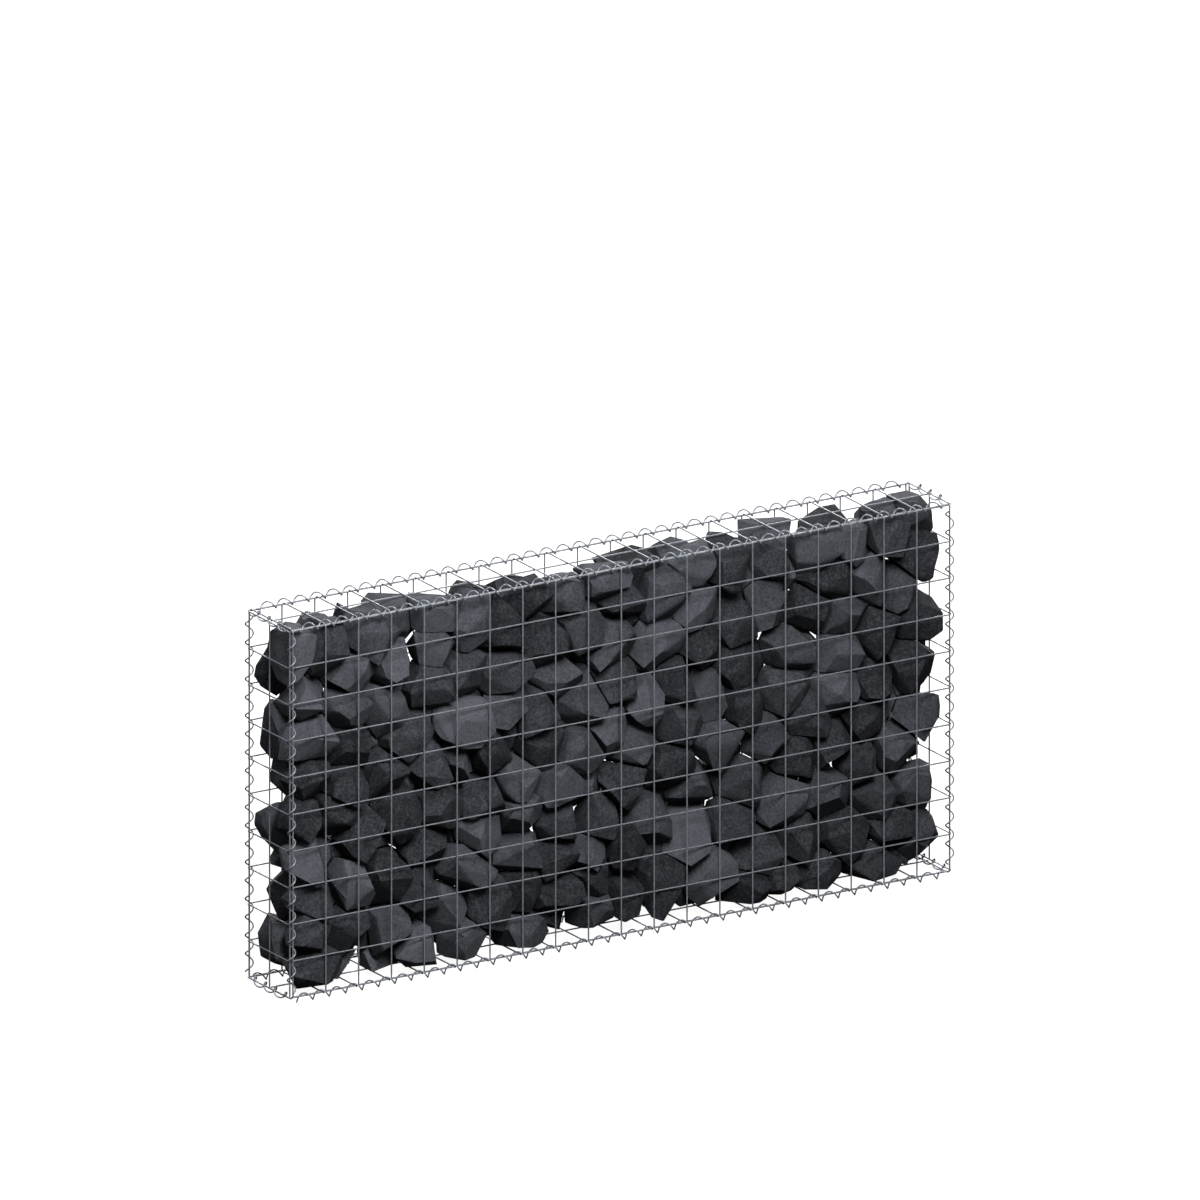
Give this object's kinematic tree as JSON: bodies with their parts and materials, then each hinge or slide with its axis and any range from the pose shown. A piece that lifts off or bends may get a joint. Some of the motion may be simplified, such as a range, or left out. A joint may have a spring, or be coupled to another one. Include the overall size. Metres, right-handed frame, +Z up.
{
  "type": "gabion wall",
  "caption": "Low free-standing gabion wall: a flat welded-mesh basket, laced along its edges with spiral binders and filled with angular dark stone.",
  "frame": {"origin": "centre of the footprint at floor level, under the lowest bends of the bottom binders", "axes": "+X along the wall towards its right end, +Y from the front face to the back, +Z up"},
  "size_m": [2.0366, 0.2366, 1.0369],
  "materials": {
    "galvanised_wire": "hot-dip galvanised, satin",
    "quarry_stone": "matte, fine-grained, freshly broken"
  },
  "bodies": {
    "root": {"front_panel": "galvanised_wire", "back_panel": "galvanised_wire", "left_end_panel": "galvanised_wire", "right_end_panel": "galvanised_wire", "base_panel": "galvanised_wire", "lid_panel": "galvanised_wire", "back_bottom_binder": "galvanised_wire", "back_left_binder": "galvanised_wire", "back_right_binder": "galvanised_wire", "back_top_binder": "galvanised_wire", "front_bottom_binder": "galvanised_wire", "front_left_binder": "galvanised_wire", "front_right_binder": "galvanised_wire", "front_top_binder": "galvanised_wire", "left_bottom_binder": "galvanised_wire", "left_top_binder": "galvanised_wire", "right_bottom_binder": "galvanised_wire", "right_top_binder": "galvanised_wire", "stone_course_01": "quarry_stone", "stone_course_02": "quarry_stone", "stone_course_03": "quarry_stone", "stone_course_04": "quarry_stone", "stone_course_05": "quarry_stone", "stone_course_06": "quarry_stone", "stone_course_07": "quarry_stone", "stone_course_08": "quarry_stone", "stone_course_09": "quarry_stone", "stone_course_10": "quarry_stone"}
  },
  "joints": []
}
